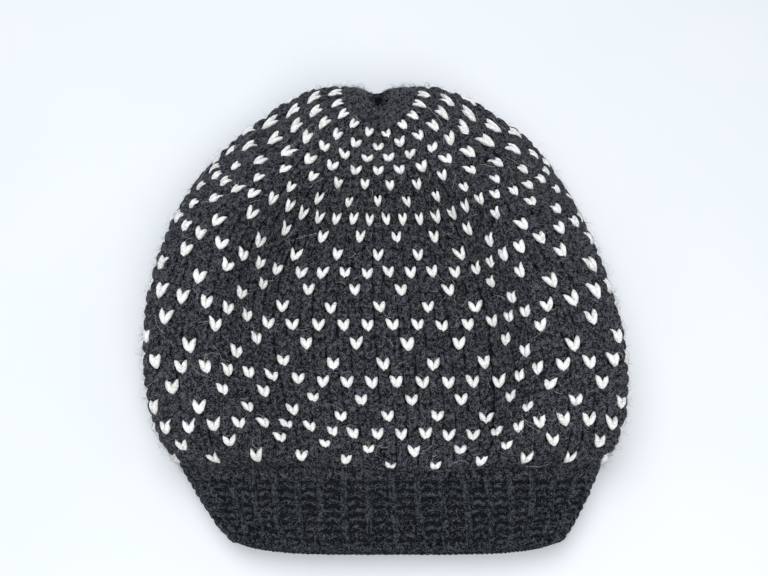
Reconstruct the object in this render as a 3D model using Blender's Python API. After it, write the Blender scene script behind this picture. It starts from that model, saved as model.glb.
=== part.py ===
"""Knitted wool hat lying flat on its back layer, mouth towards -Y, crown point towards +Y.

Metres, +Z up. The origin is under the middle of the hat, on the surface it rests on.
The hat is knitted in rounds: every section below is one round, a closed loop of fabric.
"""
import math

import bmesh
import bpy
import numpy as np

# Sizes seen from above
BAND_DEPTH = 0.038        # ribbed band, from its cast-on edge to the body
BODY_LENGTH = 0.2065      # body and crown, from the band to the far edge
BODY_WIDTH = 0.244        # across the widest part
MOUTH_WIDTH = 0.156       # across the cast-on edge, where the rib pulls in
BAND_TOP_WIDTH = 0.205    # across the band where the body starts

# Heights above the surface that the hat rests on
MOUTH_HEIGHT = 0.0180     # top of the cast-on edge
HOLLOW_HEIGHT = 0.0215    # top of the sunken middle
LOBE_HEIGHT = 0.050       # crest of the puffed fold round the edge

# Fabric
BODY_WALL = 0.005         # knitted thickness with its floats
BAND_WALL = 0.0045
RIB_COUNT = 32            # knit and purl columns round the band
RIB_GROOVE = 0.0014       # depth of the purl columns
PIECE_GAP = 0.0003        # between the band and the body
LEAN = 0.012              # sideways drift of the front middle from mouth to crown
ROUND_TILT = 0.008        # rise of the lower rounds towards +X, across the leaning columns

# How the fabric lies, as shares
FRONT_SLACK = 0.055       # columns stand this much closer on the front layer
MOUTH_CROWDING = 0.18     # ribs stand this much closer at the ends of the mouth
STEEPER = 0.035           # the +X slope is steeper than the other by this much
CROWN_SHIFT = 0.03        # the crown's +X half is wider than its half width by this much
MOUTH_LEAN = 0.50         # of the lean: the middle of the mouth towards +X
START_LEAN = 0.28         # of the lean: the middle where the body starts
CROWN_LEAN = -0.27        # of the lean: the middle from the lean's last round on
DRAW_IN = 0.8             # below 1 the band's sides bow outwards
CORNER_RISE = 0.10        # of the band's depth: the mouth's corners curve up this much
PRESSED_FLAT = 1.05       # above 1 the hat rests on a wider face

# Rounds of knitting: the body starts at 0 and the crown point is the last round
LAST_ROUND = 47
CLOSING_ROUND = 45.4      # the ring that the crown point closes
SPREAD_ROUND = 6          # the band's width has given way to the body's
LEANING_ROUND = 24        # the lean ends
FOLDED_ROUND = 4          # the creases are at their full depth
TILTED_ROUND = 5          # the tilt of the rounds is full here
LEVEL_ROUNDS = (9, 23)    # and fades out between these
SHIFT_ROUNDS = (25, 33)   # the crown's shift grows between these

# Facets
BODY_COLUMNS = 84
BAND_COLUMNS = RIB_COUNT * 4
BAND_RINGS = 4
LOOP_SAMPLES = 720
NORMAL_ROUNDS = 3         # how often the wall's directions are averaged
INNER_RINGS_LESS = 4      # the hollow closes this many rings before the outside does
START_RINGS = (0, 0.6, 1.2, 2, 3, 4.5)
BODY_RINGS = (6, 32, 1.9)        # first round, limit and step
CROWN_RINGS = (32.6, 45, 1.55)

# Plan of each section of the body. Half widths are shares of half the body's width, the
# places along the hat are shares of the body's length: at the front middle, at the side
# folds and at the middle of the back layer. Squareness 2 is an ellipse.
PLAN_COLUMNS = ("round", "half_width", "front", "side", "back", "squareness")
PLAN_SECTIONS = (
    (0, 0.860, 0.000, 0.000, 0.000, 4.0),
    (1.2, 0.880, 0.006, 0.023, 0.031, 4.0),
    (3, 0.910, 0.031, 0.053, 0.080, 4.0),
    (6, 0.945, 0.094, 0.115, 0.160, 4.0),
    (11, 0.978, 0.201, 0.272, 0.295, 4.0),
    (17, 0.958, 0.351, 0.457, 0.459, 4.0),
    (23, 0.880, 0.492, 0.657, 0.634, 3.8),
    (29, 0.740, 0.624, 0.821, 0.796, 3.4),
    (33, 0.610, 0.694, 0.909, 0.901, 3.0),
    (36, 0.455, 0.739, 0.965, 0.973, 2.6),
    (39, 0.300, 0.785, 0.982, 1.000, 2.3),
    (42, 0.150, 0.852, 0.973, 0.992, 2.1),
    (45, 0.055, 0.919, 0.962, 0.975, 2.0),
    (47, 0.000, 0.953, 0.953, 0.953, 2.0),
)

# Heights of each section, as shares of the lobe height, apart from the sunken middle,
# which is a share of the hollow height. The plateau and the crest are shares of the
# half width: where the sunken middle ends, and where the puffed fold is highest.
HEIGHT_COLUMNS = ("round", "middle", "lobe", "side", "back", "plateau", "crest")
HEIGHT_SECTIONS = (
    (0, 0.94, 0.410, 0.21, 0.00, 0.10, 0.60),
    (1.2, 1.12, 0.560, 0.28, 0.00, 0.12, 0.60),
    (3, 1.22, 0.700, 0.34, 0.00, 0.22, 0.62),
    (6, 1.16, 0.860, 0.41, 0.00, 0.36, 0.66),
    (11, 1.03, 1.010, 0.48, 0.00, 0.43, 0.69),
    (17, 1.00, 1.090, 0.50, 0.00, 0.44, 0.70),
    (23, 1.00, 1.130, 0.50, 0.00, 0.43, 0.68),
    (27, 1.16, 1.100, 0.49, 0.00, 0.38, 0.70),
    (31, 1.58, 1.070, 0.48, 0.00, 0.25, 0.68),
    (34, 1.93, 1.040, 0.52, 0.03, 0.16, 0.66),
    (37, 2.16, 1.050, 0.68, 0.14, 0.10, 0.64),
    (40, 2.24, 1.040, 0.85, 0.44, 0.10, 0.60),
    (43, 2.16, 1.000, 0.91, 0.76, 0.10, 0.60),
    (45.4, 2.00, 0.890, 0.88, 0.85, 0.10, 0.60),
    (47, 1.86, 0.800, 0.80, 0.80, 0.10, 0.60),
)

# Creases and dents pressed into the front layer: the place of the middle and the half
# length and half breadth are shares of half the body's width, the depth is a share of
# the lobe height, and the turn is the crease's direction in degrees from +X. The columns
# are across, along, turn, length, breadth and depth.
FOLDS = (
    (-0.46, -0.43, -38, 0.30, 0.085, 0.11),
    (0.52, -0.42, 48, 0.26, 0.085, 0.09),
    (-0.80, 0.12, 82, 0.22, 0.080, 0.05),
    (-0.02, 0.86, 90, 0.16, 0.130, 0.10),
)

FABRICS = {
    "ribbed_band": {"colour": (0.020, 0.023, 0.028, 1.0), "roughness": 0.95},
    "crown": {"colour": (0.026, 0.029, 0.035, 1.0), "roughness": 0.95},
}

HAT_LENGTH = BAND_DEPTH + BODY_LENGTH
BAND_TOP_Y = BAND_DEPTH - HAT_LENGTH / 2
HALF_WIDTH = BODY_WIDTH / 2


def column(sections, names, name):
    return np.array([row[names.index(name)] for row in sections], float)


def smooth_value(sections, names, name, position):
    """Smooth curve through a table's column, read at one round."""
    at = column(sections, names, "round")
    values = column(sections, names, name)
    slopes = np.gradient(values, at)
    k = int(np.clip(np.searchsorted(at, position) - 1, 0, len(at) - 2))
    span = at[k + 1] - at[k]
    t = (position - at[k]) / span
    start = (1 + 2 * t) * (1 - t) ** 2 * values[k] + t * (1 - t) ** 2 * span * slopes[k]
    end = t * t * (3 - 2 * t) * values[k + 1] - t * t * (1 - t) * span * slopes[k + 1]
    return start + end


def smooth_step(share):
    share = np.clip(share, 0.0, 1.0)
    return share * share * (3 - 2 * share)


def spaced_loop(loop, count, slack, crowding):
    """Points spaced along a closed loop, nearly evenly.

    Slack sets them closer on the front layer, crowding sets them closer at the side folds.
    """
    closed = np.vstack((loop, loop[:1]))
    lengths = np.linalg.norm(np.diff(closed, axis=0), axis=1)
    travelled = np.concatenate(([0.0], np.cumsum(lengths)))
    share = np.arange(count) / count
    share -= slack * np.sin(2 * math.pi * share) / (2 * math.pi)
    share += crowding * np.sin(4 * math.pi * share) / (4 * math.pi)
    return np.column_stack([np.interp(share * travelled[-1], travelled, closed[:, i]) for i in range(3)])


def fold_depth(x, y):
    """How deep the creases press the front layer at each place."""
    depth = np.zeros_like(x)
    for across, along, turn, length, breadth, share in FOLDS:
        angle = math.radians(turn)
        dx = x / HALF_WIDTH - across
        dy = y / HALF_WIDTH - along
        run = (dx * math.cos(angle) + dy * math.sin(angle)) / length
        off = (dy * math.cos(angle) - dx * math.sin(angle)) / breadth
        depth += share * LOBE_HEIGHT * np.exp(-run ** 2 - off ** 2)
    return depth


def section_loop(plan, heights, middle_x, shift, folded):
    """One closed loop of fabric, from the front middle round the +X fold and back."""
    angle = np.arange(LOOP_SAMPLES) / LOOP_SAMPLES * 2 * math.pi
    power = 2 / plan["squareness"]
    out = np.abs(np.sin(angle)) ** power
    rise = np.abs(np.cos(angle)) ** power
    front = np.cos(angle) > 0
    x = middle_x + (np.sign(np.sin(angle)) + shift) * plan["half_width"] * out

    end = np.where(front, plan["front"], plan["back"])
    y = plan["side"] + (end - plan["side"]) * rise

    crest = heights["crest"] - STEEPER * np.sign(np.sin(angle))
    swell = smooth_step((out - heights["plateau"]) / (crest - heights["plateau"]))
    top = heights["middle"] + (heights["lobe"] - heights["middle"]) * swell
    over = heights["side"] + (top - heights["side"]) * rise
    under = heights["side"] - (heights["side"] - heights["back"]) * rise * PRESSED_FLAT
    under = np.maximum(under, max(heights["back"], 0.0))
    z = np.where(front, over - folded * fold_depth(x, y) * rise, under)
    return np.column_stack((x, y, z))


def body_loop(position, count):
    """The round of the body at this position, as evenly spaced points."""
    share_of = {"half_width": HALF_WIDTH, "squareness": 1.0}
    plan = {}
    for name in PLAN_COLUMNS[1:]:
        value = smooth_value(PLAN_SECTIONS, PLAN_COLUMNS, name, position)
        if name in share_of:
            plan[name] = value * share_of[name]
        else:
            plan[name] = BAND_TOP_Y + value * BODY_LENGTH
    spread = smooth_step(position / SPREAD_ROUND)
    first_half = column(PLAN_SECTIONS, PLAN_COLUMNS, "half_width")[0] * HALF_WIDTH
    plan["half_width"] += (BAND_TOP_WIDTH / 2 - first_half) * (1 - spread)

    share_of = {"middle": HOLLOW_HEIGHT, "plateau": 1.0, "crest": 1.0}
    heights = {}
    for name in HEIGHT_COLUMNS[1:]:
        value = smooth_value(HEIGHT_SECTIONS, HEIGHT_COLUMNS, name, position)
        heights[name] = value * share_of.get(name, LOBE_HEIGHT)
    lean = START_LEAN + (CROWN_LEAN - START_LEAN) * smooth_step(position / LEANING_ROUND)
    growing, full = SHIFT_ROUNDS
    shift = CROWN_SHIFT * smooth_step((position - growing) / (full - growing))
    folded = smooth_step(position / FOLDED_ROUND)
    loop = section_loop(plan, heights, LEAN * lean, shift, folded)
    fading, level = LEVEL_ROUNDS
    tilted = smooth_step(position / TILTED_ROUND)
    tilted *= 1 - smooth_step((position - fading) / (level - fading))
    loop[:, 1] += ROUND_TILT * tilted * loop[:, 0]
    return spaced_loop(loop, count, FRONT_SLACK * spread, 0.0)


def band_loop(share, count):
    """A round of the band: share 0 is the cast-on edge, 1 meets the body."""
    top = body_loop(0.0, LOOP_SAMPLES)
    top_half = (top[:, 0].max() - top[:, 0].min()) / 2
    top_middle = (top[:, 0].max() + top[:, 0].min()) / 2
    mouth_half = MOUTH_WIDTH / 2
    half = mouth_half + (top_half - mouth_half) * share ** DRAW_IN
    middle_x = LEAN * MOUTH_LEAN * (1 - share) + top_middle * share
    height = MOUTH_HEIGHT / top[:, 2].max() * (1 - share) + share

    loop = top.copy()
    loop[:, 0] = middle_x + (top[:, 0] - top_middle) * half / top_half
    loop[:, 1] -= BAND_DEPTH * (1 - share)
    sides = ((top[:, 0] - top_middle) / top_half) ** 4
    loop[:, 1] += CORNER_RISE * BAND_DEPTH * (1 - share) * sides
    loop[:, 2] = top[:, 2] * height
    return spaced_loop(loop, count, 0.0, MOUTH_CROWDING * (1 - share))


def averaged(grid):
    """Each value averaged with its neighbours along its ring and on the rings beside it."""
    grid = (np.roll(grid, 1, axis=1) + 2 * grid + np.roll(grid, -1, axis=1)) / 4
    grid[1:-1] = (grid[:-2] + 2 * grid[1:-1] + grid[2:]) / 4
    return grid


def inner_skin(rings, wall, end_open):
    """The same rings moved inwards by the wall. Rings at open ends stay in their planes."""
    skin = np.array(rings)
    along = np.roll(skin, -1, axis=1) - np.roll(skin, 1, axis=1)
    across = np.gradient(skin, axis=0)
    inward = np.cross(across, along)
    for _ in range(NORMAL_ROUNDS):
        inward /= np.linalg.norm(inward, axis=2)[:, :, None]
        inward = averaged(inward)
    inward[0, :, 1] = 0.0
    if end_open:
        inward[-1, :, 1] = 0.0
    inward /= np.linalg.norm(inward, axis=2)[:, :, None]
    return skin + inward * wall


def skin_faces(mesh, rings, outward):
    """Faces through rings that all have as many points."""
    rows = [[mesh.verts.new(point) for point in ring] for ring in rings]
    for near, far in zip(rows, rows[1:]):
        join_rings(mesh, near, far, outward)
    return rows


def join_rings(mesh, near, far, outward):
    for i in range(len(near)):
        j = (i + 1) % len(near)
        corners = (near[i], near[j], far[j], far[i])
        mesh.faces.new(corners if outward else corners[::-1])


def close_point(mesh, ring, point, outward):
    top = mesh.verts.new(point)
    for i in range(len(ring)):
        corners = (ring[i], ring[(i + 1) % len(ring)], top)
        mesh.faces.new(corners if outward else corners[::-1])


def finish(name, mesh):
    """Object with its own material."""
    bmesh.ops.recalc_face_normals(mesh, faces=mesh.faces)
    data = bpy.data.meshes.new(name)
    mesh.to_mesh(data)
    mesh.free()
    data.shade_smooth()
    piece = bpy.data.objects.new(name, data)
    bpy.context.scene.collection.objects.link(piece)
    fabric = bpy.data.materials.new(name)
    fabric.use_nodes = True
    shader = fabric.node_tree.nodes["Principled BSDF"]
    shader.inputs["Base Color"].default_value = FABRICS[name]["colour"]
    shader.inputs["Roughness"].default_value = FABRICS[name]["roughness"]
    shader.inputs["Metallic"].default_value = 0.0
    data.materials.append(fabric)
    return piece


def rib_grooves(ring):
    """Move the purl columns of a round inwards."""
    along = np.roll(ring, -1, axis=0) - np.roll(ring, 1, axis=0)
    inward = np.column_stack((-along[:, 2], np.zeros(len(ring)), along[:, 0]))
    inward *= -1 / np.linalg.norm(inward, axis=1)[:, None]
    turns = 2 * math.pi * RIB_COUNT * np.arange(len(ring)) / len(ring)
    return ring + inward * (0.5 - 0.5 * np.cos(turns))[:, None] * RIB_GROOVE


def make_band():
    """Ribbed band: the purl columns lie deeper than the knit ones."""
    top_share = 1 - PIECE_GAP / BAND_DEPTH
    shares = [top_share * k / BAND_RINGS for k in range(BAND_RINGS + 1)]
    rings = [band_loop(share, BAND_COLUMNS) for share in shares]
    mesh = bmesh.new()
    outer = skin_faces(mesh, [rib_grooves(ring) for ring in rings], True)
    inner = skin_faces(mesh, inner_skin(rings, BAND_WALL, True), False)
    join_rings(mesh, inner[0], outer[0], True)
    join_rings(mesh, inner[-1], outer[-1], False)
    return finish("ribbed_band", mesh)


def make_crown():
    """Body and crown in one piece, drawn shut at the crown point."""
    positions = [*START_RINGS, *np.arange(*BODY_RINGS), *np.arange(*CROWN_RINGS), CLOSING_ROUND]
    rings = [body_loop(position, BODY_COLUMNS) for position in positions]
    point = body_loop(LAST_ROUND - 0.001, BODY_COLUMNS).mean(axis=0)
    mesh = bmesh.new()
    outer = skin_faces(mesh, rings, True)
    inner = skin_faces(mesh, inner_skin(rings, BODY_WALL, False)[:-INNER_RINGS_LESS], False)
    join_rings(mesh, inner[0], outer[0], True)
    close_point(mesh, outer[-1], point, True)
    close_point(mesh, inner[-1], point - (0, 0, BODY_WALL), False)
    return finish("crown", mesh)


for thing in list(bpy.data.objects):
    bpy.data.objects.remove(thing, do_unlink=True)
make_band()
make_crown()
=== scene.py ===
# Knitted wool hat, lying flat on a pale floor: real stitches laid over the hat's surface.
import math

import bmesh
import bpy
import numpy as np
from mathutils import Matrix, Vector


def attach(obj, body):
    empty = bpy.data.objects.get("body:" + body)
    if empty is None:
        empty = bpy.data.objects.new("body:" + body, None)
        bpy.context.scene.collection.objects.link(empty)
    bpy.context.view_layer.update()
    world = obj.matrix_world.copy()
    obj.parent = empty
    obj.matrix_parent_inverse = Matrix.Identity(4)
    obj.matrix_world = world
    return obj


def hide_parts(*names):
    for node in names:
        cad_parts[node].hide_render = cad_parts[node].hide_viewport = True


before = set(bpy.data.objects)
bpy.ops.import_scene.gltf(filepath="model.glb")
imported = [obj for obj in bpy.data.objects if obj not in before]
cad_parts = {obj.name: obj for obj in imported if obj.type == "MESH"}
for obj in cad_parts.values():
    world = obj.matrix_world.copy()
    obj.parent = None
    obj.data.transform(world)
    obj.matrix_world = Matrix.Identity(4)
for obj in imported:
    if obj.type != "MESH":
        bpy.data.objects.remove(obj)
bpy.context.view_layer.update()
rng = np.random.default_rng(84)

# The hat's surface, in metres and in shares, round by round
hat = {
    "bandDepth": 0.038,
    "bodyLength": 0.2065,
    "bodyWidth": 0.244,
    "mouthWidth": 0.156,
    "bandTopWidth": 0.205,
    "mouthHeight": 0.018,
    "hollowHeight": 0.0215,
    "lobeHeight": 0.050,
    "lean": 0.012,
    "startLean": 0.28,
    "crownLean": -0.27,
    "mouthLean": 0.50,
    "roundTilt": 0.008,
    "crownShift": 0.03,
    "mouthCrowding": 0.34,
    "steeper": 0.035,
    "drawIn": 0.8,
    "cornerRise": 0.10,
    "overhang": 0.0032,       # how far the body bulges over the band
    "overhangMiddle": 0.05,   # where that is strongest, as a share of the round
    "overhangSpan": 0.09,
    "overhangRounds": 3.0,    # how many rounds it takes to fade
    "notchAcross": -0.0045,   # where the gathered crown draws in at the back
    "notchDepth": 0.0050,
    "notchWidth": 0.0055,
    "notchReach": 0.008,      # how far behind the crown point it is at its full depth
    "notchRound": 35,
    "stitches": 84,
    "bandRounds": 10,
    "loopSamples": 720,
}

# Columns: round, half width, front, side, back, squareness, slack
planSections = (
    (0, 0.860, 0.000, 0.000, 0.000, 4.0, 0.00),
    (1.2, 0.880, 0.006, 0.023, 0.031, 4.0, 0.01),
    (3, 0.910, 0.031, 0.053, 0.080, 4.0, 0.03),
    (6, 0.945, 0.094, 0.115, 0.160, 4.0, 0.05),
    (11, 0.978, 0.201, 0.272, 0.295, 4.0, 0.06),
    (17, 0.958, 0.351, 0.457, 0.459, 4.0, 0.06),
    (23, 0.880, 0.492, 0.657, 0.634, 3.8, 0.12),
    (29, 0.740, 0.624, 0.821, 0.796, 3.4, 0.22),
    (33, 0.610, 0.694, 0.909, 0.901, 3.0, 0.28),
    (36, 0.455, 0.739, 0.965, 0.973, 2.6, 0.26),
    (39, 0.300, 0.785, 0.982, 1.000, 2.3, -0.06),
    (42, 0.150, 0.852, 0.973, 0.992, 2.1, -0.32),
    (45, 0.055, 0.919, 0.962, 0.975, 2.0, -0.34),
    (47, 0.000, 0.953, 0.953, 0.953, 2.0, -0.34),
)

# Columns: round, middle, lobe, side, back, plateau, crest
heightSections = (
    (0, 0.94, 0.410, 0.21, 0.00, 0.10, 0.60),
    (1.2, 1.12, 0.560, 0.28, 0.00, 0.12, 0.60),
    (3, 1.22, 0.700, 0.34, 0.00, 0.22, 0.62),
    (6, 1.16, 0.860, 0.41, 0.00, 0.36, 0.66),
    (11, 1.03, 1.010, 0.48, 0.00, 0.43, 0.69),
    (17, 1.00, 1.090, 0.50, 0.00, 0.44, 0.70),
    (23, 1.00, 1.130, 0.50, 0.00, 0.43, 0.68),
    (27, 1.16, 1.100, 0.49, 0.00, 0.38, 0.70),
    (31, 1.58, 1.070, 0.48, 0.00, 0.25, 0.68),
    (34, 1.93, 1.040, 0.52, 0.03, 0.16, 0.66),
    (37, 2.16, 1.050, 0.68, 0.14, 0.10, 0.64),
    (40, 2.24, 1.040, 0.85, 0.44, 0.10, 0.60),
    (43, 2.16, 1.000, 0.91, 0.76, 0.10, 0.60),
    (45.4, 2.00, 0.890, 0.88, 0.85, 0.10, 0.60),
    (47, 1.86, 0.800, 0.80, 0.80, 0.10, 0.60),
)

# Creases. Columns: across, along, turn, length, breadth, depth
foldList = (
    (-0.46, -0.43, -38, 0.30, 0.085, 0.11),
    (0.52, -0.42, 48, 0.26, 0.085, 0.09),
    (-0.80, 0.12, 82, 0.22, 0.080, 0.05),
    (-0.02, 0.86, 90, 0.16, 0.130, 0.10),
)

# Where stitches have slid along the fabric. Columns: share of the round, round, spans of
# both, columns moved, rounds moved
tugList = (
    (-0.110, 7.5, 0.042, 5.5, 0.30, 1.25),
    (-0.110, 2.5, 0.060, 3.0, 0.70, 0.90),
    (0.185, 5.0, 0.045, 3.5, -0.20, 0.60),
    (0.165, 20.0, 0.032, 5.0, -0.30, -1.00),
    (-0.150, 23.0, 0.030, 3.5, 0.10, -0.50),
    (-0.205, 25.0, 0.045, 4.0, -1.20, 0.00),
    (0.235, 22.0, 0.040, 6.0, 0.00, 1.20),
    (-0.235, 22.0, 0.040, 6.0, 0.00, 1.20),
)

# The lowest rounds have slid up away from the middle, where the body bulges over the band
lowSlide = {"rounds": 1.1, "middle": 0.02, "gap": 0.045, "fade": 1.6, "span": 0.2}

halfBody = hat["bodyWidth"] / 2
bandTopY = hat["bandDepth"] - (hat["bandDepth"] + hat["bodyLength"]) / 2


def smoothStep(share):
    share = np.clip(share, 0.0, 1.0)
    return share * share * (3 - 2 * share)


def smoothColumn(sections, index, position):
    at = np.array([row[0] for row in sections], float)
    values = np.array([row[index] for row in sections], float)
    slopes = np.gradient(values, at)
    k = int(np.clip(np.searchsorted(at, position) - 1, 0, len(at) - 2))
    span = at[k + 1] - at[k]
    t = (position - at[k]) / span
    start = (1 + 2 * t) * (1 - t) ** 2 * values[k] + t * (1 - t) ** 2 * span * slopes[k]
    end = t * t * (3 - 2 * t) * values[k + 1] - t * t * (1 - t) * span * slopes[k + 1]
    return start + end


def foldDepth(x, y):
    depth = np.zeros_like(x)
    for across, along, turn, length, breadth, share in foldList:
        angle = math.radians(turn)
        dx = x / halfBody - across
        dy = y / halfBody - along
        run = (dx * math.cos(angle) + dy * math.sin(angle)) / length
        off = (dy * math.cos(angle) - dx * math.sin(angle)) / breadth
        depth += share * hat["lobeHeight"] * np.exp(-run ** 2 - off ** 2)
    return depth


def spacedLoop(loop, count, slack, crowding):
    closed = np.vstack((loop, loop[:1]))
    lengths = np.linalg.norm(np.diff(closed, axis=0), axis=1)
    travelled = np.concatenate(([0.0], np.cumsum(lengths)))
    share = np.arange(count) / count
    share -= slack * np.sin(2 * math.pi * share) / (2 * math.pi)
    share += crowding * np.sin(4 * math.pi * share) / (4 * math.pi)
    return np.column_stack([np.interp(share * travelled[-1], travelled, closed[:, i]) for i in range(3)])


def bodyLoop(position, count):
    # One round of the body, from the front middle round the +X fold and back
    plan = [smoothColumn(planSections, i, position) for i in range(1, 7)]
    halfWidth = plan[0] * halfBody
    firstHalf = planSections[0][1] * halfBody
    halfWidth += (hat["bandTopWidth"] / 2 - firstHalf) * (1 - smoothStep(position / 6))
    frontY, sideY, backY = [bandTopY + value * hat["bodyLength"] for value in plan[1:4]]
    heights = [smoothColumn(heightSections, i, position) for i in range(1, 7)]
    middleZ = heights[0] * hat["hollowHeight"]
    lobeZ, sideZ, backZ = [value * hat["lobeHeight"] for value in heights[1:4]]
    plateau = heights[4]

    angle = np.arange(hat["loopSamples"]) / hat["loopSamples"] * 2 * math.pi
    power = 2 / plan[4]
    out = np.abs(np.sin(angle)) ** power
    rise = np.abs(np.cos(angle)) ** power
    front = np.cos(angle) > 0
    side = np.sign(np.sin(angle))
    lean = hat["startLean"] + (hat["crownLean"] - hat["startLean"]) * smoothStep(position / 24)
    shift = hat["crownShift"] * smoothStep((position - 25) / 8)
    x = hat["lean"] * lean + (side + shift) * halfWidth * out
    y = sideY + (np.where(front, frontY, backY) - sideY) * rise
    crest = heights[5] - hat["steeper"] * side
    top = middleZ + (lobeZ - middleZ) * smoothStep((out - plateau) / (crest - plateau))
    over = sideZ + (top - sideZ) * rise - smoothStep(position / 4) * foldDepth(x, y) * rise
    under = np.maximum(sideZ - (sideZ - backZ) * rise * 1.05, max(backZ, 0.0))
    y = y + hat["roundTilt"] * smoothStep(position / 5) * (1 - smoothStep((position - 9) / 14)) * x
    loop = np.column_stack((x, y, np.where(front, over, under)))
    return spacedLoop(loop, count, plan[5], 0.0)


def bandLoop(share, count):
    # One round of the band, from the cast-on edge at 0 to the body at 1
    top = bodyLoop(0.0, hat["loopSamples"])
    topHalf = (top[:, 0].max() - top[:, 0].min()) / 2
    topMiddle = (top[:, 0].max() + top[:, 0].min()) / 2
    mouthHalf = hat["mouthWidth"] / 2
    half = mouthHalf + (topHalf - mouthHalf) * share ** hat["drawIn"]
    middleX = hat["lean"] * hat["mouthLean"] * (1 - share) + topMiddle * share
    loop = top.copy()
    loop[:, 0] = middleX + (top[:, 0] - topMiddle) * half / topHalf
    loop[:, 1] -= hat["bandDepth"] * (1 - share)
    sides = ((top[:, 0] - topMiddle) / topHalf) ** 4
    loop[:, 1] += hat["cornerRise"] * hat["bandDepth"] * (1 - share) * sides
    loop[:, 2] = top[:, 2] * (hat["mouthHeight"] / top[:, 2].max() * (1 - share) + share)
    return spacedLoop(loop, count, 0.0, hat["mouthCrowding"] * (1 - share))


def bulgingLoop(position, count):
    # The body's round, with the front of the lowest rounds bulging over the band
    if position < 0:
        loop = bandLoop(1 + position / hat["bandRounds"], count)
    else:
        loop = bodyLoop(min(position, 46.95), count)
    share = (np.arange(count) / count + 0.5) % 1.0 - 0.5
    strength = np.exp(-((share - hat["overhangMiddle"]) / hat["overhangSpan"]) ** 2)
    fading = smoothStep((position - 0.7) / hat["overhangRounds"])
    strength *= smoothStep((position + 0.7) / 1.4) * (1 - fading)
    loop[:, 1] -= hat["overhang"] * strength
    drawn = np.exp(-((loop[:, 0] - hat["notchAcross"]) / hat["notchWidth"]) ** 2)
    apexY = bandTopY + planSections[-1][2] * hat["bodyLength"]
    gathered = smoothStep((position - hat["notchRound"]) / 4)
    drawn *= np.clip((loop[:, 1] - apexY) / hat["notchReach"], 0, 1) * gathered
    loop[:, 1] -= hat["notchDepth"] * drawn
    loop[:, 2] -= 0.5 * hat["notchDepth"] * drawn
    return loop


class Fabric:
    # A sampled surface: rings by position, points by share round the ring
    def __init__(self, positions, rings):
        self.positions = np.array(positions, float)
        self.points = np.array(rings)
        self.columns = self.points.shape[1]
        along = np.roll(self.points, -1, axis=1) - np.roll(self.points, 1, axis=1)
        across = np.gradient(self.points, axis=0)
        normals = np.cross(along, across)
        for _ in range(3):
            normals /= np.linalg.norm(normals, axis=2)[:, :, None] + 1e-12
            normals = (np.roll(normals, 1, axis=1) + 2 * normals + np.roll(normals, -1, axis=1)) / 4
            normals[1:-1] = (normals[:-2] + 2 * normals[1:-1] + normals[2:]) / 4
        self.normals = normals / (np.linalg.norm(normals, axis=2)[:, :, None] + 1e-12)

    def read(self, grid, share, position):
        row = np.interp(position, self.positions, np.arange(len(self.positions)))
        low = np.clip(np.floor(row).astype(int), 0, len(self.positions) - 2)
        up = (row - low)[..., None]
        column = (share % 1.0) * self.columns
        left = np.floor(column).astype(int)
        over = (column - left)[..., None]
        a = left % self.columns
        b = (left + 1) % self.columns
        near = grid[low, a] * (1 - over) + grid[low, b] * over
        far = grid[low + 1, a] * (1 - over) + grid[low + 1, b] * over
        return near * (1 - up) + far * up

    def place(self, share, position, lift):
        # Points at a share round the ring and a round, lifted off the surface
        normal = self.read(self.normals, share, position)
        normal /= np.linalg.norm(normal, axis=-1)[..., None] + 1e-12
        return self.read(self.points, share, position) + normal * lift[..., None], normal

    def width(self, share, position, count):
        # How wide one stitch is there
        half = 0.5 / count
        right = self.read(self.points, share + half, position)
        left = self.read(self.points, share - half, position)
        return np.linalg.norm(right - left, axis=-1)


def tugged(share, position):
    # Stitches slide along the fabric where it was pulled
    wrapped = (share + 0.5) % 1.0 - 0.5
    slideShare = np.zeros_like(share)
    slideRound = lowSlide["rounds"] * (1 - np.exp(-((wrapped - lowSlide["middle"]) / lowSlide["gap"]) ** 2))
    slideRound = slideRound * np.exp(-((position - 1) / lowSlide["fade"]) ** 2)
    slideRound = slideRound * np.exp(-(wrapped / lowSlide["span"]) ** 2)
    for middle, at, shareSpan, roundSpan, columns, rounds in tugList:
        pull = np.exp(-((wrapped - middle) / shareSpan) ** 2 - ((position - at) / roundSpan) ** 2)
        pull = pull * smoothStep(position / 2.5)
        slideShare = slideShare + pull * columns / hat["stitches"]
        slideRound = slideRound + pull * rounds
    return share + slideShare, position + slideRound


bodyPositions = np.arange(-2, 47.01, 0.25)
bandPositions = np.arange(0, hat["bandRounds"] + 0.01, 0.5)
bodyFabric = Fabric(bodyPositions, [bulgingLoop(at, 504) for at in bodyPositions])
bandFabric = Fabric(bandPositions, [bandLoop(at / hat["bandRounds"], 512) for at in bandPositions])
print("surface: band and body rounds sampled")


# Meshes from arrays: many yarn pieces joined in one

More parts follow.
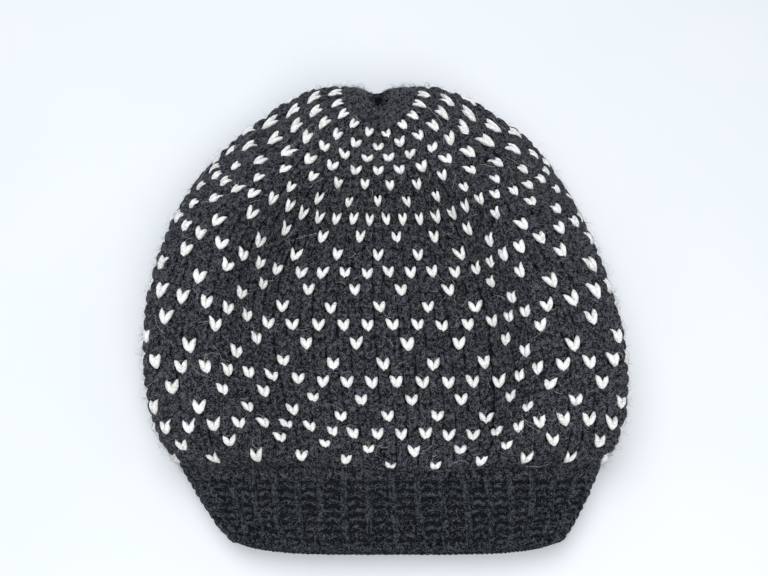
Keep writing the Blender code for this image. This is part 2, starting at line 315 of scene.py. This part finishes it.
def tubeMesh(name, paths, normals, radii, sides, tone, pitch, rough):
    # One mesh of many closed tubes. paths is pieces by points by 3, radii pieces by points
    paths[:, :, 2] = np.maximum(paths[:, :, 2], radii + 0.00005)
    pieces, points = radii.shape
    tangents = np.gradient(paths, axis=1)
    tangents /= np.linalg.norm(tangents, axis=2)[:, :, None] + 1e-12
    side = np.cross(tangents, normals)
    side /= np.linalg.norm(side, axis=2)[:, :, None] + 1e-12
    lift = np.cross(side, tangents)
    turn = np.arange(sides) / sides * 2 * math.pi
    ring = (side[:, :, None] * np.cos(turn)[None, None, :, None]
            + lift[:, :, None] * np.sin(turn)[None, None, :, None])
    uneven = 1 + rough * rng.normal(0, 1, (pieces, points, sides))
    vertices = (paths[:, :, None] + ring * (radii[:, :, None] * uneven)[..., None]).reshape(-1, 3)

    start = (np.arange(pieces) * points * sides)[:, None, None]
    row = (np.arange(points - 1) * sides)[None, :, None]
    spoke = np.arange(sides)[None, None, :]
    after = (spoke + 1) % sides
    quads = np.stack((start + row + spoke, start + row + sides + spoke,
                      start + row + sides + after, start + row + after), axis=-1).reshape(-1, 4)
    first = (start[:, 0] + np.arange(sides)).reshape(-1, sides)
    last = first[:, ::-1] + (points - 1) * sides
    corners = np.concatenate((quads.ravel(), first.ravel(), last.ravel())).astype(np.int32)
    sizes = np.concatenate((np.full(len(quads), 4), np.full(2 * pieces, sides)))
    starts = np.concatenate(([0], np.cumsum(sizes)[:-1])).astype(np.int32)

    mesh = bpy.data.meshes.new(name)
    mesh.vertices.add(len(vertices))
    mesh.vertices.foreach_set("co", vertices.astype(np.float32).ravel())
    mesh.loops.add(len(corners))
    mesh.loops.foreach_set("vertex_index", corners)
    mesh.polygons.add(len(starts))
    mesh.polygons.foreach_set("loop_start", starts)

    steps = np.linalg.norm(np.diff(paths, axis=1), axis=2)
    travelled = np.concatenate((np.zeros((pieces, 1)), np.cumsum(steps, axis=1)), axis=1)
    travelled += rng.random((pieces, 1)) * pitch * 7
    low = np.repeat(travelled[:, :-1, None], sides, axis=2)
    high = np.repeat(travelled[:, 1:, None], sides, axis=2)
    left = np.broadcast_to(spoke / sides, low.shape)
    right = left + 1 / sides
    quadMap = np.stack((np.stack((left, low), -1), np.stack((left, high), -1),
                        np.stack((right, high), -1), np.stack((right, low), -1)), axis=-2)
    quadMap = quadMap.reshape(-1, 2) / (1.0, pitch)
    capMap = np.zeros((2 * pieces * sides, 2))
    yarnMap = mesh.uv_layers.new(name="yarn")
    yarnMap.data.foreach_set("uv", np.concatenate((quadMap, capMap)).astype(np.float32).ravel())

    # the tone attribute carries random tone and, on the knitted pieces, painted shade
    toneLayer = mesh.attributes.new("tone", "FLOAT", "POINT")
    toneLayer.data.foreach_set("value", np.repeat(tone, points * sides).astype(np.float32))
    mesh.update()
    mesh.validate()
    mesh.shade_smooth()
    piece = bpy.data.objects.new(name, mesh)
    bpy.context.scene.collection.objects.link(piece)
    return piece


# Stitches of the body

knit = {
    "yarnRadius": 0.00166,
    "stitchWidth": 0.0061,    # yarn is squeezed where columns stand closer than this
    "depth": 0.0016,          # how deep the yarn's middle lies under the outer surface
    "roughness": 0.07,
    "lowRoundsPaintedShade": 3.0,          # painted shade: how much darker the lowest rounds are, where the body meets the band
    "twistPitch": 0.0042,
    "columnSpread": 0.04,     # how unevenly stitches stand, in stitch widths and rounds
    "leanSpread": 0.08,
    "roundSpread": 0.07,
    "legSpread": 0.05,
    "widthSpread": 0.08,
    "liftSpread": 0.00016,
}

# A leg: points and sides of its tube, where it starts and ends in stitch widths from the
# column's middle and in rounds from the round's middle, how thick it and its ends are, how
# far its foot comes up out of the fabric, and how much higher it lies
darkLeg = {"points": 6, "sides": 6, "foot": 0.045, "head": 0.36, "low": -0.66, "high": 0.62,
           "plump": 1.0, "blunt": 0.40, "footLift": 0.0, "rise": 0.0}
paleLeg = {"points": 8, "sides": 8, "foot": 0.015, "head": 0.445, "low": -0.70, "high": 0.68,
           "plump": 0.83, "blunt": 0.05, "footLift": 0.80, "rise": 0.0005}

# The crown narrows in steps: first round, stitches, and where the first column stands
decreases = ((-1, 84, 0.0), (32, 63, 0.5), (34, 42, 0.0), (42, 21, 0.5), (45, 10, 0.0))

# Pattern rounds of the crown: one stitch in how many is pale, and which comes first
crownPattern = {17: (3, 1), 18: (2, 0), 19: (2, 1), 20: (2, 0), 21: (2, 1)}


def roundOf(roundIndex):
    return [(count, offset) for first, count, offset in decreases if roundIndex >= first][-1]


def isPale(roundIndex, column):
    # A pattern round every second round: one stitch in four, staggered, and every third
    # time one in two
    pattern = (roundIndex + 1) // 2
    if roundIndex % 2 == 0 or pattern < 1 or pattern > 21:
        return False
    if pattern in crownPattern:
        step, first = crownPattern[pattern]
        return column % step == first
    if pattern % 3 == 0:
        return column % 2 == 1
    return column % 4 == (0 if pattern % 3 == 1 else 2)


def knitLegs(rows, leg):
    # rows: round, place of the column, stitches in the round. Two legs a stitch
    rounds, columns, counts = [np.repeat(rows[:, i], 2)[:, None] for i in range(3)]
    side = np.tile((-1.0, 1.0), len(rows))[:, None]
    t = np.linspace(0, 1, leg["points"])[None, :]
    jitter = rng.normal(0, 1, (len(rows), 4)).repeat(2, axis=0)
    own = rng.normal(0, 1, (len(rounds), 3))
    across = leg["foot"] + (leg["head"] - leg["foot"]) * t
    across = side * across * (1 + knit["widthSpread"] * own[:, :1])
    across = across + knit["columnSpread"] * jitter[:, :1] + knit["leanSpread"] * jitter[:, 3:4] * (t - 0.4)
    along = leg["low"] + (leg["high"] - leg["low"]) * t
    along = along + knit["roundSpread"] * jitter[:, 1:2] + knit["legSpread"] * own[:, 1:2]
    height = np.sin(math.pi * np.clip(0.04 + 0.94 * t, 0, 1)) ** 0.6
    height = np.where(t < 0.5, leg["footLift"] + (1 - leg["footLift"]) * height, height)
    lifts = leg["rise"] - knit["depth"] + knit["yarnRadius"] * (-1.2 + 1.2 * height)
    lifts = lifts + knit["liftSpread"] * jitter[:, 2:3]
    share, position = tugged((columns + across) / counts, rounds + along)
    squeeze = bodyFabric.width(share, position, counts) / knit["stitchWidth"]
    squeeze = np.clip(squeeze, 0.42, 1.12) ** 0.8
    shape = leg["blunt"] + (1.04 - leg["blunt"]) * np.sin(math.pi * (0.05 + 0.86 * t ** 0.9)) ** 0.8
    radii = knit["yarnRadius"] * leg["plump"] * shape * squeeze * (1 + 0.05 * own[:, 2:3])
    paths, normals = bodyFabric.place(share, position, lifts * squeeze)
    return paths, normals, radii


def knitRounds(name, first, last, pale):
    rows = []
    for roundIndex in range(first, last):
        count, offset = roundOf(roundIndex)
        rows += [(roundIndex, column + offset, count) for column in range(count)
                 if isPale(roundIndex, column) == pale]
    rows = np.array(rows, float)
    leg = paleLeg if pale else darkLeg
    paths, normals, radii = knitLegs(rows, leg)
    # painted shade: the lowest rounds get a darker tone next to the band
    tone = rng.normal(0, 1, len(rows)) - knit["lowRoundsPaintedShade"] * np.exp(-np.maximum(rows[:, 0], 0) / 1.6)
    tone = tone.repeat(2)
    return tubeMesh(name, paths, normals, radii, leg["sides"], tone, knit["twistPitch"],
                    knit["roughness"])


# Ribbed band

rib = {
    "stitches": 76,
    "yarnRadius": 0.00125,
    "depth": 0.0007,          # how deep the yarn's middle lies in a knit column
    "groove": 0.0011,         # how much further down purl columns lie
    # painted shade: the purl columns, which lie deeper, get a lower tone than the knit columns
    "wall": 0.0045,
    "knitTone": 0.6,
    "purlPaintedShadeTone": 0.2,
    "paintedShadeDownBand": 1.1,          # painted shade: how much darker the band is towards the cast-on edge, and lighter where it meets the body
    "roughness": 0.08,
}


def ribLegs(columns, outside, purl):
    # Rounds and columns of one kind of stitch, as arrays that broadcast with t
    rows = np.array([(r, c) for r in range(hat["bandRounds"]) for c in columns], float)
    if not purl:
        rows = rows.repeat(2, axis=0)
    return rows[:, :1], rows[:, 1:2] + (0.0 if outside else 1.0)


def ribKnit(name, outside):
    # Knit columns stand proud, as pairs of steep legs
    flip = 1.0 if outside else -1.0
    rounds, columns = ribLegs(range(0, rib["stitches"], 2), outside, False)
    count = len(rounds)
    side = np.tile((-1.0, 1.0), count // 2)[:, None]
    t = np.linspace(0, 1, 6)[None, :]
    jitter = rng.normal(0, 1, (count // 2, 3)).repeat(2, axis=0)
    across = side * (0.06 + 0.13 * t ** 0.8) + 0.03 * jitter[:, :1]
    position = rounds + 0.5 - 0.70 + 1.30 * t + 0.06 * jitter[:, 1:2]
    position = np.clip(position, 0.05, hat["bandRounds"] + 0.3)
    height = np.sin(math.pi * np.clip(0.04 + 0.94 * t, 0, 1)) ** 0.6
    depth = rib["depth"] if outside else rib["wall"] - rib["depth"]
    lifts = -depth + flip * rib["yarnRadius"] * (-1.1 + 1.1 * height) + 0.00012 * jitter[:, 2:3]
    paths, normals = bandFabric.place((columns + across) / rib["stitches"], position, lifts)
    shape = 0.34 + 0.62 * np.sin(math.pi * (0.08 + 0.84 * t)) ** 0.8
    radii = rib["yarnRadius"] * shape * np.ones((count, 1))
    # painted shade: the band's tone darkens towards the cast-on edge and lightens near the body
    tone = rng.normal(rib["knitTone"], 1, count) + rib["paintedShadeDownBand"] * (rounds[:, 0] / 5 - 1)
    return tubeMesh(name, paths, normals, radii, 6, tone, knit["twistPitch"], rib["roughness"])


def ribPurl(name, outside):
    # Purl columns lie deeper, as one curved bump a round
    flip = 1.0 if outside else -1.0
    rounds, columns = ribLegs(range(1, rib["stitches"], 2), outside, True)
    count = len(rounds)
    t = np.linspace(0, 1, 6)[None, :]
    jitter = rng.normal(0, 1, (count, 3))
    across = (t - 0.5) * 1.32 + 0.03 * jitter[:, :1]
    position = rounds + 0.5 + 0.16 * np.cos(math.pi * (t - 0.5) * 2) + 0.06 * jitter[:, 1:2]
    deeper = rib["depth"] + rib["groove"]
    depth = deeper if outside else rib["wall"] - deeper
    lifts = -depth + flip * rib["yarnRadius"] * (-0.7 + 0.7 * np.sin(math.pi * t) ** 0.7)
    lifts = lifts * np.ones((count, 1))
    paths, normals = bandFabric.place((columns + across) / rib["stitches"], position, lifts)
    radii = 0.98 * rib["yarnRadius"] * (0.55 + 0.45 * np.sin(math.pi * t) ** 0.6) * np.ones((count, 1))
    # painted shade: the deeper purl columns take the darker purl tone
    # painted shade: the same darkening towards the cast-on edge as on the knit columns
    tone = rng.normal(rib["purlPaintedShadeTone"], 0.8, count) + rib["paintedShadeDownBand"] * (rounds[:, 0] / 5 - 1)
    return tubeMesh(name, paths, normals, radii, 6, tone, knit["twistPitch"], rib["roughness"])


edge = {
    "radius": 0.00105,
    "reach": 1.5,             # stitches that one wrap runs along the edge
}


def castOnEdge(name):
    # A slanting wrap round the edge for each half stitch
    count = rib["stitches"] * 2
    columns = np.arange(count)[:, None] / 2
    t = np.linspace(0, 1, 8)[None, :]
    angle = math.pi * (1.5 * t - 0.15) * np.ones((count, 1))
    share = (columns + edge["reach"] * (t - 0.5)) / rib["stitches"]
    lifts = -rib["wall"] / 2 + (rib["wall"] / 2 - 0.0010) * np.cos(angle)
    position = 0.22 - 0.36 * np.sin(angle)
    paths, normals = bandFabric.place(share, np.clip(position, 0, None), lifts)
    paths[:, :, 1] += np.minimum(position, 0) * hat["bandDepth"] / hat["bandRounds"]
    radii = edge["radius"] * (0.75 + 0.25 * np.sin(math.pi * t) ** 0.5) * np.ones((count, 1))
    return tubeMesh(name, paths, normals, radii, 6, rng.normal(-0.6, 0.8, count), knit["twistPitch"], 0.06)


# Ground fabric under the stitches, with the wall's real thickness. Its near-black colour is painted shade
# in the gaps between stitches

def fabricShell(name, fabric, firstRing, lastRing, step, outerDepth, wall, columns, close):
    positions = np.arange(firstRing, lastRing + 0.001, step)
    share = np.arange(columns) / columns
    mesh = bmesh.new()
    loops = []
    for depth in (outerDepth, wall):
        rings = []
        for position in positions:
            at = np.full(columns, position)
            points, _ = fabric.place(share, at, np.full(columns, -depth))
            rings.append([mesh.verts.new(point) for point in points])
        loops.append(rings)
    for rings in loops:
        for near, far in zip(rings, rings[1:]):
            for i in range(columns):
                j = (i + 1) % columns
                mesh.faces.new((near[i], near[j], far[j], far[i]))
    for i in range(columns):
        j = (i + 1) % columns
        mesh.faces.new((loops[0][0][i], loops[0][0][j], loops[1][0][j], loops[1][0][i]))
    if close:
        for rings in loops:
            mesh.faces.new(rings[-1])
    else:
        for i in range(columns):
            j = (i + 1) % columns
            mesh.faces.new((loops[0][-1][i], loops[0][-1][j], loops[1][-1][j], loops[1][-1][i]))
    bmesh.ops.recalc_face_normals(mesh, faces=mesh.faces)
    data = bpy.data.meshes.new(name)
    mesh.to_mesh(data)
    mesh.free()
    data.shade_smooth()
    piece = bpy.data.objects.new(name, data)
    bpy.context.scene.collection.objects.link(piece)
    return piece


# Loose fibres

fuzz = {
    "bodyCount": 10400,
    "bandCount": 1600,
    "edgeCount": 2900,
    "paleCount": 2200,
    "strayCount": 120,
    "radius": 0.00005,
    "bodyHair": ((0.0012, 0.0045), (0.05, 0.40), 0.0),   # lengths, how far they stand up, tone
    "edgeHair": ((0.0015, 0.0050), (0.3, 0.9), -0.5),
    "bandHair": ((0.0012, 0.004), (0.05, 0.5), -0.3),
    "paleHair": ((0.001, 0.0032), (0.1, 0.6), 0.3),
}


def hairPaths(fabric, share, position, lengths, lean):
    # Short curved hairs that leave the surface at a low angle
    count = len(share)
    base, normal = fabric.place(share, position, np.full(count, -0.0002))
    wander = rng.normal(0, 1, (count, 3))
    tangent = wander - normal * (wander * normal).sum(axis=1)[:, None]
    tangent /= np.linalg.norm(tangent, axis=1)[:, None]
    other = np.cross(normal, tangent)
    bend = rng.normal(0, 0.6, (count, 1, 1))
    t = np.linspace(0, 1, 3)[None, :, None]
    length = lengths[:, None, None]
    up = lean[:, None, None] * length * np.sin(t * math.pi * 0.62)
    paths = base[:, None] + tangent[:, None] * length * t + normal[:, None] * up
    paths = paths + other[:, None] * bend * length * t * t
    return paths, np.repeat(other[:, None], 3, axis=1) + 0.3 * normal[:, None]


def fibres(name, fabric, share, position, lengthRange, leanRange, tone):
    count = len(share)
    lengths = lengthRange[0] + (lengthRange[1] - lengthRange[0]) * rng.random(count) ** 2
    lean = rng.uniform(leanRange[0], leanRange[1], count)
    paths, normals = hairPaths(fabric, share, position, lengths, lean)
    radii = fuzz["radius"] * (1.15 - 0.8 * np.linspace(0, 1, 3))[None, :] * np.ones((count, 1))
    return tubeMesh(name, paths, normals, radii, 3, rng.normal(tone, 1, count), 0.004, 0.0)


def strayHairs(name, count):
    # Long pale hairs that lie over the fabric
    share = rng.random((count, 1)) * 0.6 - 0.3
    position = 1 + 42 * rng.random((count, 1))
    turn = rng.random((count, 1)) * 2 * math.pi
    t = np.linspace(0, 1, 8)[None, :]
    angle = turn + rng.normal(0, 1.6, (count, 1)) * t
    length = rng.uniform(0.9, 2.6, (count, 1)) / 8
    columns = np.cumsum(np.cos(angle), axis=1) * length
    rounds = np.cumsum(np.sin(angle), axis=1) * length
    lift = 0.0003 + 0.0006 * np.abs(np.sin(math.pi * (t * 1.5 + turn)))
    along = np.clip(position + rounds, 0, 45)
    paths, normals = bodyFabric.place(share + columns / hat["stitches"], along, lift)
    radii = np.full((count, 8), fuzz["radius"] * 0.8)
    return tubeMesh(name, paths, normals, radii, 3, rng.normal(0, 1, count), 0.004, 0.0)


def palePlaces(count):
    # Places on the pale stitches
    rows = []
    for roundIndex in range(1, 42, 2):
        number, offset = roundOf(roundIndex)
        rows += [(roundIndex, column + offset, number) for column in range(number)
                 if isPale(roundIndex, column)]
    rows = np.array(rows, float)[rng.integers(0, len(rows), count)]
    across = rng.normal(0, 0.22, count)
    return tugged((rows[:, 1] + across) / rows[:, 2], rows[:, 0] + rng.normal(0, 0.25, count))


def topHeavy(count):
    # Shares of the round, three in four on the layer that faces up
    share = rng.random(count) * 0.5 - 0.25
    return share + 0.5 * (rng.random(count) > 0.75)


# Materials

class Value:
    # A socket that takes part in Python arithmetic
    def __init__(self, tree, socket):
        self.tree = tree
        self.socket = socket

    def math(self, operation, other, swapped=False):
        node = self.tree.nodes.new("ShaderNodeMath")
        node.operation = operation
        ends = (other, self) if swapped else (self, other)
        for socket, end in zip(node.inputs, ends):
            if isinstance(end, Value):
                self.tree.links.new(end.socket, socket)
            elif end is not None:
                socket.default_value = end
        return Value(self.tree, node.outputs[0])

    def __add__(self, other):
        return self.math("ADD", other)

    def __radd__(self, other):
        return self.math("ADD", other, True)

    def __sub__(self, other):
        return self.math("SUBTRACT", other)

    def __rsub__(self, other):
        return self.math("SUBTRACT", other, True)

    def __mul__(self, other):
        return self.math("MULTIPLY", other)

    def __rmul__(self, other):
        return self.math("MULTIPLY", other, True)

    def sine(self):
        return self.math("SINE", None)


class Finish:
    # A material being made: its nodes, and one method for any of them
    def __init__(self, name):
        self.material = bpy.data.materials.new(name)
        self.material.use_nodes = True
        self.tree = self.material.node_tree
        self.shader = self.tree.nodes["Principled BSDF"]

    def put(self, socket, value):
        if isinstance(value, Value):
            self.tree.links.new(value.socket, socket)
        else:
            socket.default_value = value

    def node(self, kind, settings, sockets, output=0):
        node = self.tree.nodes.new("ShaderNode" + kind)
        for name, value in settings.items():
            if name == "stops":
                for element, (position, colour) in zip(node.color_ramp.elements, value):
                    element.position = position
                    element.color = colour
            else:
                setattr(node, name, value)
        for name, value in sockets.items():
            self.put(node.inputs[name], value)
        return Value(self.tree, node.outputs[output])

    def shade(self, **sockets):
        for name, value in sockets.items():
            self.put(self.shader.inputs[name.replace("_", " ")], value)


# Specks in the yarn, per metre, and its bumps in metres
grain = {"fine": 1600.0, "coarse": 520.0, "bump": 0.0006}


def yarnFinish(name, stops, toneSpread, sheen, sheenTint, speckle, base, bumpiness):
    # Twisted plies with fine fibres along them
    finish = Finish(name)
    uv = finish.node("UVMap", {"uv_map": "yarn"}, {})
    around = finish.node("SeparateXYZ", {}, {0: uv}, 0)
    along = finish.node("SeparateXYZ", {}, {0: uv}, 1)
    tone = finish.node("Attribute", {"attribute_name": "tone"}, {}, 2)
    place = finish.node("TexCoord", {}, {}, 3)
    fine = finish.node("TexNoise", {}, {"Vector": place, "Scale": grain["fine"], "Detail": 2.0,
                                        "Roughness": 0.7})
    coarse = finish.node("TexNoise", {}, {"Vector": place, "Scale": grain["coarse"], "Detail": 2.0,
                                          "Roughness": 0.6})
    ply = ((around * 3.0 + along) * (2 * math.pi)).sine() * 0.5 + 0.5
    strand = ((around * 17.0 + along * 5.0 + coarse * 2.0) * (2 * math.pi)).sine() * 0.5 + 0.5
    mixed = (fine - 0.5) * (speckle * 2.2) + (coarse - 0.5) * (speckle * 1.2) + ply * 0.12 + strand * 0.10
    # the tone moves colour along the ramp: random tone, and painted shade where pieces set it
    colour = finish.node("ValToRGB", {"stops": stops}, {"Fac": mixed + tone * toneSpread + base})
    height = ply * 0.4 + strand * 0.3 + fine * 1.4
    bump = finish.node("Bump", {}, {"Height": height, "Strength": bumpiness, "Distance": grain["bump"]})
    finish.shade(Base_Color=colour, Roughness=0.92, Normal=bump, Sheen_Weight=sheen,
                 Sheen_Roughness=0.45, Sheen_Tint=sheenTint, Specular_IOR_Level=0.08)
    return finish.material


def gapShadeFinish():
    finish = Finish("ground fabric painted gap shade")
    place = finish.node("TexCoord", {}, {}, 3)
    fine = finish.node("TexNoise", {}, {"Vector": place, "Scale": 1500.0, "Detail": 3.0})
    bumps = finish.node("TexVoronoi", {"feature": "SMOOTH_F1"},
                        {"Vector": place, "Scale": 230.0, "Smoothness": 0.6})
    # painted shade: the ground is near black, darker than the yarn, so the gaps between stitches look
    # shaded
    stops = ((0.0, (0.001, 0.001, 0.002, 1)), (1.0, (0.013, 0.014, 0.017, 1)))
    colour = finish.node("ValToRGB", {"stops": stops}, {"Fac": fine * 0.6 + bumps * 0.4})
    bump = finish.node("Bump", {}, {"Height": fine * 0.3 - bumps, "Strength": 0.8, "Distance": 0.001})
    finish.shade(Base_Color=colour, Roughness=0.95, Normal=bump, Specular_IOR_Level=0.08)
    return finish.material


def fibreFinish(name, dark, light):
    finish = Finish(name)
    tone = finish.node("Attribute", {"attribute_name": "tone"}, {}, 2)
    colour = finish.node("ValToRGB", {"stops": ((0.0, dark), (1.0, light))}, {"Fac": tone * 0.22 + 0.4})
    finish.shade(Base_Color=colour, Roughness=0.7, Sheen_Weight=0.3)
    return finish.material


def floorFinish():
    finish = Finish("pale floor")
    place = finish.node("TexCoord", {}, {}, 3)
    cloud = finish.node("TexNoise", {}, {"Vector": place, "Scale": 9.0, "Detail": 2.0})
    stops = ((0.0, (0.67, 0.695, 0.72, 1)), (1.0, (0.712, 0.729, 0.746, 1)))
    finish.shade(Base_Color=finish.node("ValToRGB", {"stops": stops}, {"Fac": cloud}), Roughness=0.9)
    return finish.material


# Making the hat

def dress(piece, material, slot, *nodes):
    piece.data.materials.append(material)
    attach(piece, "root")
    if nodes:
        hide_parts(*nodes)


darkStops = ((0.0, (0.002, 0.002, 0.003, 1)), (1.0, (0.100, 0.104, 0.121, 1)))
# painted shade: the band's yarn is the body's dark wool painted darker, as shade on the sloping band
bandShadedStops = ((0.0, (0.001, 0.0015, 0.002, 1)), (1.0, (0.071, 0.084, 0.096, 1)))
# partly painted shade: the cream low end stands for shade on the white stitches and is mixed in by the
# yarn's noise; the white end is the yarn's own colour
paleStopsCreamShade = ((0.0, (0.61, 0.59, 0.53, 1)), (0.4, (0.90, 0.90, 0.885, 1)))
darkYarn = yarnFinish("dark yarn", darkStops, 0.03, 0.04, (0.75, 0.80, 0.90, 1), 4.0, 0.15, 0.9)
bandShadedYarn = yarnFinish("dark rib yarn painted shade", bandShadedStops, 0.07, 0.02, (0.75, 0.80, 0.90, 1), 3.4, 0.19, 0.9)
paleYarn = yarnFinish("pale yarn", paleStopsCreamShade, 0.03, 0.10, (1.0, 0.98, 0.95, 1), 0.9, 0.26, 0.6)
gapShadeFabric = gapShadeFinish()
darkFibre = fibreFinish("dark fibre", (0.034, 0.036, 0.042, 1), (0.29, 0.30, 0.34, 1))
paleFibre = fibreFinish("pale fibre", (0.55, 0.54, 0.52, 1), (0.90, 0.89, 0.86, 1))

# Ground shells: first and last round, step, depth of the outer and the inner skin, columns
bodyShell = (0.0, 46.5, 0.75, 0.0030, 0.0050, 168)
bandShell = (0.0, 10.0, 0.5, 0.0022, 0.0026, 128)
dress(fabricShell("body_ground", bodyFabric, *bodyShell, True), gapShadeFabric, "dark_wool", "crown")
dress(fabricShell("band_ground", bandFabric, *bandShell, False), gapShadeFabric, "dark_wool_rib",
      "ribbed_band")
print("ground fabric painted gap shade done")

knitBands = (("lower_body_knit", -1, 12), ("middle_body_knit", 12, 23), ("upper_body_knit", 23, 35),
             ("crown_knit", 35, 47))
for pieceName, firstRound, lastRound in knitBands:
    dress(knitRounds(pieceName, firstRound, lastRound, False), darkYarn, "dark_wool")
dress(knitRounds("pale_stitches", 0, 47, True), paleYarn, "pale_wool")
print("body knitted")

dress(ribKnit("rib_knit_outside", True), bandShadedYarn, "dark_wool_rib")
dress(ribPurl("rib_purl_outside", True), bandShadedYarn, "dark_wool_rib")
dress(ribKnit("rib_knit_inside", False), bandShadedYarn, "dark_wool_rib")
dress(ribPurl("rib_purl_inside", False), bandShadedYarn, "dark_wool_rib")
dress(castOnEdge("cast_on_edge"), bandShadedYarn, "dark_wool_rib")
print("band knitted")

bodyCount, bandCount, edgeCount = fuzz["bodyCount"], fuzz["bandCount"], fuzz["edgeCount"]
dress(fibres("body_fuzz", bodyFabric, topHeavy(bodyCount), rng.random(bodyCount) * 45, *fuzz["bodyHair"]),
      darkFibre, "dark_wool")
edgeShare = rng.integers(0, 2, edgeCount) * 0.5 + 0.25 + rng.normal(0, 0.035, edgeCount)
dress(fibres("edge_fuzz", bodyFabric, edgeShare, rng.random(edgeCount) * 45, *fuzz["edgeHair"]),
      darkFibre, "dark_wool")
dress(fibres("band_fuzz", bandFabric, topHeavy(bandCount), rng.random(bandCount) * 10, *fuzz["bandHair"]),
      darkFibre, "dark_wool_rib")
paleShare, paleRound = palePlaces(fuzz["paleCount"])
dress(fibres("pale_fuzz", bodyFabric, paleShare, paleRound, *fuzz["paleHair"]), paleFibre, "pale_wool")
dress(strayHairs("stray_hairs", fuzz["strayCount"]), paleFibre, "pale_wool")
print("loose fibres done")


# Floor, lights and camera

def makeFloor():
    mesh = bmesh.new()
    bmesh.ops.create_grid(mesh, x_segments=2, y_segments=2, size=2.0)
    data = bpy.data.meshes.new("floor")
    mesh.to_mesh(data)
    mesh.free()
    piece = bpy.data.objects.new("floor", data)
    bpy.context.scene.collection.objects.link(piece)
    piece.data.materials.append(floorFinish())


def makeLight(name, place, size, power, colour):
    data = bpy.data.lights.new(name, "AREA")
    data.shape = "DISK"
    data.size = size
    data.energy = power
    data.color = colour
    lamp = bpy.data.objects.new(name, data)
    lamp.location = place
    lamp.rotation_euler = (Vector((0, 0, 0.02)) - Vector(place)).to_track_quat("-Z", "Y").to_euler()
    bpy.context.scene.collection.objects.link(lamp)


# Columns: name, place, size, power, colour
lights = (
    ("overhead", (-0.15, 0.26, 0.95), 0.9, 6.6, (0.97, 0.985, 1.0)),
    ("front", (0.15, -0.55, 0.75), 0.6, 4.5, (1.0, 1.0, 1.0)),
)
sky = {"colour": (0.90, 0.95, 1.0, 1), "strength": 0.54}

view = {
    "distance": 0.450,
    "elevation": 68.0,
    "target": (0.0, 0.00775, 0.022),
    "metresPerPixel": 0.00052,
    "frameWidth": 768,
    "sensor": 36.0,
}


def makeCamera():
    tilt = math.radians(view["elevation"])
    back = Vector((0, -math.cos(tilt), math.sin(tilt)))
    data = bpy.data.cameras.new("camera")
    focal = view["distance"] / view["metresPerPixel"]
    data.sensor_width = view["sensor"]
    data.lens = view["sensor"] * focal / view["frameWidth"]
    data.clip_start = 0.01
    camera = bpy.data.objects.new("camera", data)
    camera.location = Vector(view["target"]) + back * view["distance"]
    camera.rotation_euler = (-back).to_track_quat("-Z", "Y").to_euler()
    bpy.context.scene.collection.objects.link(camera)
    bpy.context.scene.camera = camera


makeFloor()
for light in lights:
    makeLight(*light)
world = bpy.data.worlds.new("studio")
world.use_nodes = True
world.node_tree.nodes["Background"].inputs[0].default_value = sky["colour"]
world.node_tree.nodes["Background"].inputs[1].default_value = sky["strength"]
bpy.context.scene.world = world
bpy.context.scene.view_settings.view_transform = "Standard"
makeCamera()
print("floor, lights and camera done")
